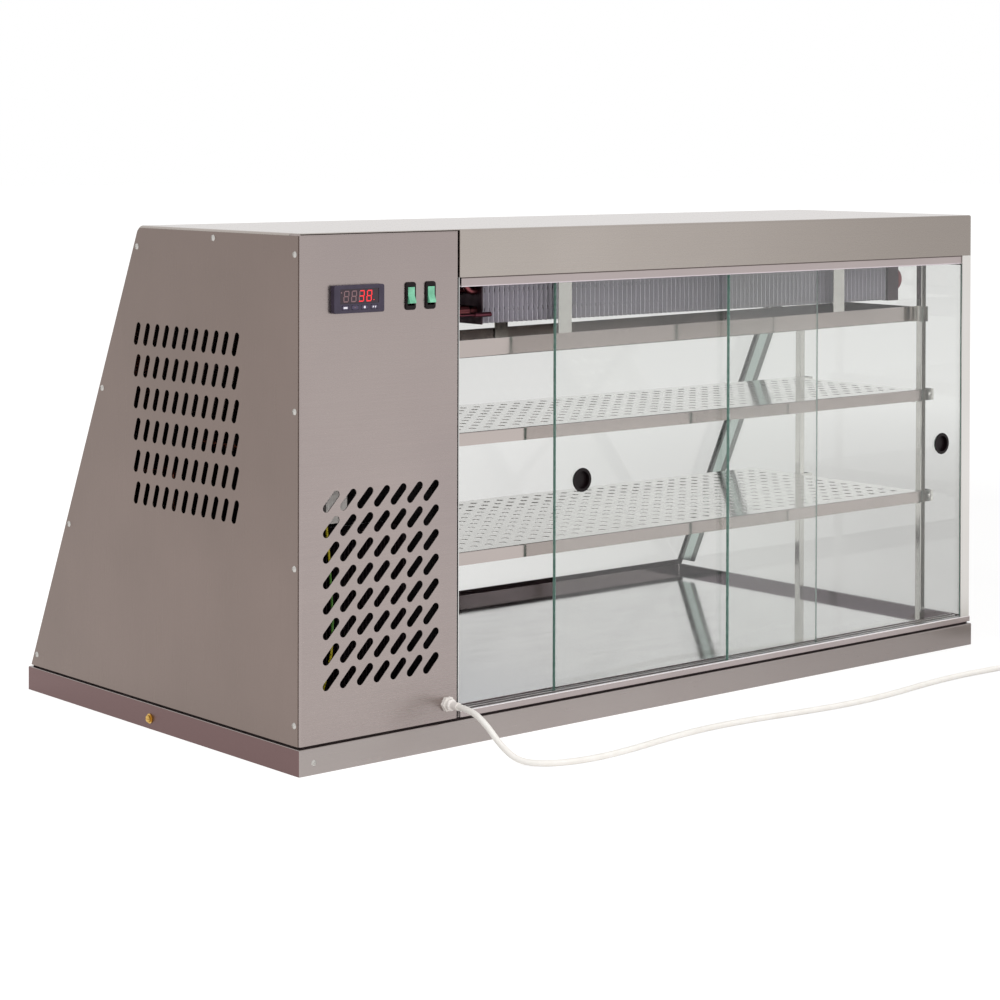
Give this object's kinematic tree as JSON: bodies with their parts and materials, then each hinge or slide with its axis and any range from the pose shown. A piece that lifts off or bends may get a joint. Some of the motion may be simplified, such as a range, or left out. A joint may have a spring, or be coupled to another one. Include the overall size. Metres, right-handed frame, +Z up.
{
  "type": "refrigerated countertop display case",
  "caption": "Countertop refrigerated display case: glass cabinet with sloped back, sliding doors, perforated shelves, evaporator under the roof and a side machine compartment.",
  "frame": {"origin": "middle of the flat underside of the base", "axes": "+X along the case's length towards the glass end, +Y from the operator's doors to the sloped customers' side, +Z up"},
  "size_m": [1.3087, 0.7607, 0.612],
  "materials": {
    "base_paint": "satin",
    "body_paint": "satin",
    "post_paint": "satin",
    "galvanised": "satin",
    "foam": "matte",
    "black_seal": "matte",
    "polished_steel": "bright",
    "inner_steel": "satin",
    "track_aluminium": "satin",
    "corner_aluminium": "satin",
    "glass": "clear",
    "black_plastic": "glossy",
    "screw_steel": "bright",
    "fin_aluminium": "bright",
    "copper": "satin",
    "clear_tube": "translucent",
    "lamp_cover": "translucent",
    "controller_plastic": "matte",
    "controller_window": "glossy",
    "controller_keys": "matte",
    "green_lens": "translucent",
    "white_nylon": "satin",
    "white_cord": "satin",
    "brass": "satin",
    "compressor_paint": "satin",
    "rubber": "matte",
    "motor_steel": "satin",
    "fan_aluminium": "satin",
    "earth_wire": "satin"
  },
  "bodies": {
    "case": {"base_plinth": "base_paint", "base_underplate": "galvanised", "foam_insulation": "foam", "base_gasket": "black_seal", "inner_tray": "polished_steel", "left_side_panel": "body_paint", "compartment_front_panel": "body_paint", "compartment_back_panel": "body_paint", "partition_liner": "inner_steel", "roof": "body_paint", "ceiling_liner": "inner_steel", "upper_door_track": "track_aluminium", "lower_door_track": "track_aluminium", "right_post": "post_paint", "side_glass": "glass", "rear_glass": "glass", "glass_channels": "black_seal", "corner_profile": "corner_aluminium", "shelf_posts": "polished_steel", "upper_shelf": "polished_steel", "lower_shelf": "polished_steel", "shelf_rails": "polished_steel", "shelf_clamps": "polished_steel", "screws": "screw_steel", "evaporator_fins": "fin_aluminium", "evaporator_end_plates": "galvanised", "evaporator_tubes": "copper", "drip_pan": "polished_steel", "pan_straps": "polished_steel", "drain_tube": "clear_tube", "temperature_probe": "black_plastic", "lamp_strip": "lamp_cover", "controller_housing": "controller_plastic", "controller_window": "controller_window", "switch_bodies": "black_plastic", "cable_gland": "white_nylon", "mains_cord": "white_cord", "mains_cord_coil": "white_cord", "mains_plug": "white_cord", "plug_pins": "brass", "compressor": "compressor_paint", "compressor_feet": "rubber", "condenser": "fin_aluminium", "fan_shroud": "galvanised", "fan_motor": "motor_steel", "refrigerant_pipes": "copper", "terminal_block": "white_nylon", "earth_wire": "earth_wire", "earth_screw": "brass"},
    "inner_door": {"inner_door_glass": "glass", "inner_door_finger_cup": "black_plastic"},
    "outer_door": {"outer_door_glass": "glass", "outer_door_finger_cup": "black_plastic"},
    "main_rocker": {"main_switch_rocker": "green_lens"},
    "lamp_rocker": {"lamp_switch_rocker": "green_lens"},
    "set_button": {"set_key": "controller_keys"},
    "lamp_button": {"lamp_key": "controller_keys"},
    "down_button": {"down_key": "controller_keys"},
    "up_button": {"up_key": "controller_keys"},
    "fan": {"fan_blade": "fan_aluminium"}
  },
  "joints": [
    {"name": "inner_door_slide", "type": "slide", "parent": "case", "child": "inner_door", "axis": [1, 0, 0], "range_m": [-0.16, 0.294]},
    {"name": "outer_door_slide", "type": "slide", "parent": "case", "child": "outer_door", "axis": [1, 0, 0], "range_m": [-0.454, 0]},
    {"name": "main_switch_hinge", "type": "hinge", "parent": "case", "child": "main_rocker", "pos_m": [-0.4294, -0.2953, 0.5358], "axis": [1, 0, 0], "range_deg": [0, 22]},
    {"name": "lamp_switch_hinge", "type": "hinge", "parent": "case", "child": "lamp_rocker", "pos_m": [-0.3998, -0.2953, 0.5358], "axis": [1, 0, 0], "range_deg": [0, 22]},
    {"name": "set_key_press", "type": "slide", "parent": "case", "child": "set_button", "axis": [0, 1, 0], "range_m": [0, 0.0006], "stiffness_N_per_m": 2000, "springref_m": -0.0002},
    {"name": "lamp_key_press", "type": "slide", "parent": "case", "child": "lamp_button", "axis": [0, 1, 0], "range_m": [0, 0.0006], "stiffness_N_per_m": 2000, "springref_m": -0.0002},
    {"name": "down_key_press", "type": "slide", "parent": "case", "child": "down_button", "axis": [0, 1, 0], "range_m": [0, 0.0006], "stiffness_N_per_m": 2000, "springref_m": -0.0002},
    {"name": "up_key_press", "type": "slide", "parent": "case", "child": "up_button", "axis": [0, 1, 0], "range_m": [0, 0.0006], "stiffness_N_per_m": 2000, "springref_m": -0.0002},
    {"name": "fan_spin", "type": "hinge", "parent": "case", "child": "fan", "pos_m": [-0.482, -0.18, 0.162], "axis": [0, 1, 0], "continuous": true}
  ]
}
